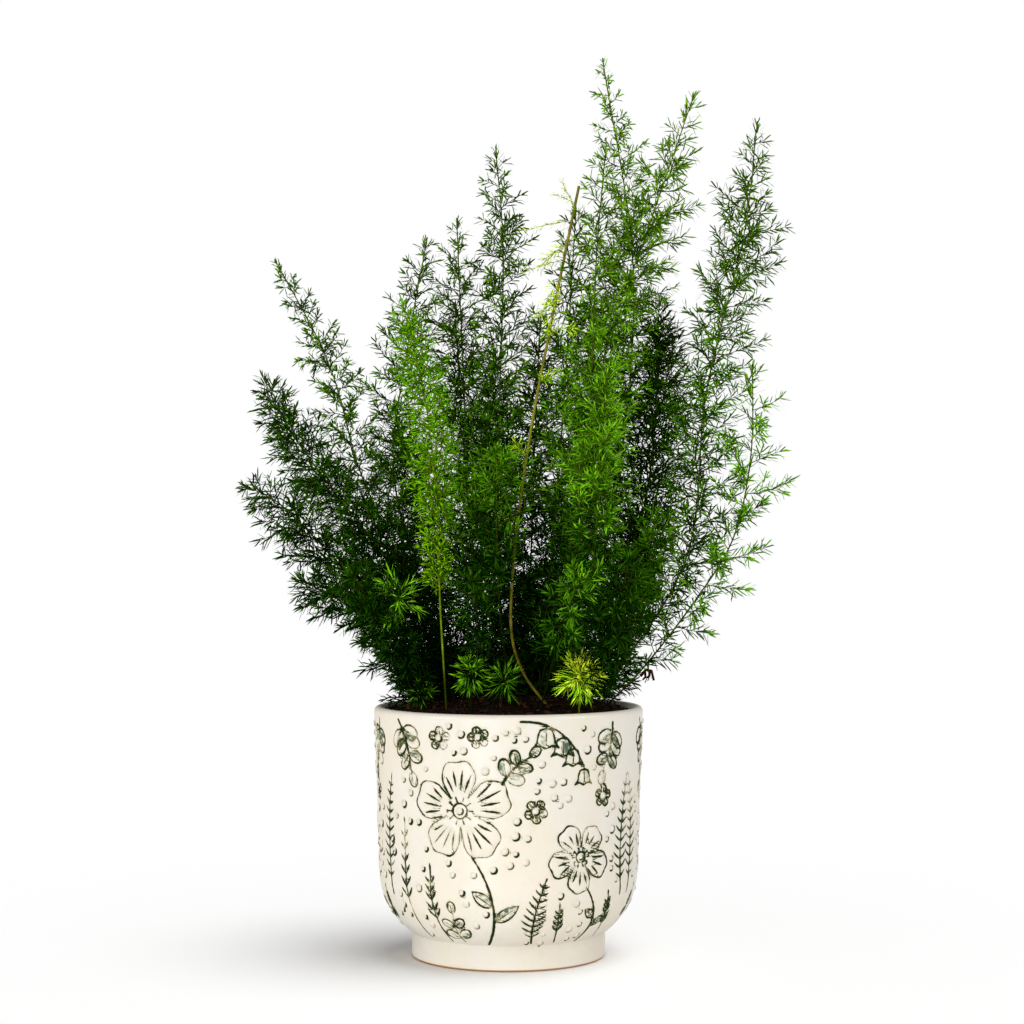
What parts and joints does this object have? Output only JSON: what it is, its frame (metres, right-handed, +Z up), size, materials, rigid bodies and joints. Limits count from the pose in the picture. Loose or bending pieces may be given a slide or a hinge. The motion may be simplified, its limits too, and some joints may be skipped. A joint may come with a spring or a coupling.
{
  "type": "foxtail fern in a pot",
  "caption": "Foxtail fern with upright feathery plumes of fine needles, growing in a round cream glazed ceramic pot with a plain foot and a botanical relief.",
  "frame": {"origin": "centre of the pot's flat base, on the surface it stands on", "axes": "+Z up along the pot's axis; -Y is the front, towards the lime plume and the yellow shoot; +X to the right, towards the plume that leans furthest"},
  "size_m": [0.2941, 0.2258, 0.479],
  "materials": {
    "glazed_ceramic": "satin",
    "potting_soil": "matte",
    "leaf_dark": "satin",
    "leaf_mid": "satin",
    "leaf_fresh": "satin",
    "leaf_lime": "satin",
    "leaf_yellow": "satin",
    "old_wood": "matte"
  },
  "bodies": {
    "root": {"pot": "glazed_ceramic", "soil": "potting_soil", "lime_plume": "leaf_lime", "left_thick_plume": "leaf_dark", "left_tall_plume": "leaf_mid", "left_low_plume": "leaf_dark", "left_rim_plume": "leaf_dark", "left_curved_plume": "leaf_mid", "mid_left_plume": "leaf_mid", "centre_tall_plume": "leaf_mid", "tallest_plume": "leaf_fresh", "right_leaning_plume": "leaf_fresh", "mid_right_plume": "leaf_fresh", "right_tall_plume": "leaf_mid", "far_right_plume": "leaf_fresh", "right_back_plume": "leaf_dark", "right_rim_plume": "leaf_mid", "front_right_plume": "leaf_fresh", "mid_back_plume": "leaf_mid", "centre_back_plume": "leaf_dark", "front_middle_plume": "leaf_fresh", "front_thin_plume": "leaf_fresh", "front_low_right_plume": "leaf_fresh", "front_low_middle_plume": "leaf_mid", "front_side_right_plume": "leaf_dark", "front_side_left_plume": "leaf_dark", "back_left_plume": "leaf_dark", "back_middle_plume": "leaf_mid", "back_right_plume": "leaf_mid", "back_low_left_plume": "leaf_dark", "back_low_middle_plume": "leaf_fresh", "back_low_right_plume": "leaf_fresh", "back_tall_right_plume": "leaf_mid", "back_tall_left_plume": "leaf_dark", "old_woody_stem": "old_wood", "yellow_shoot": "leaf_yellow", "green_shoot": "leaf_fresh", "second_green_shoot": "leaf_fresh", "rim_shoot": "leaf_fresh", "star_shoot": "leaf_fresh"}
  },
  "joints": []
}
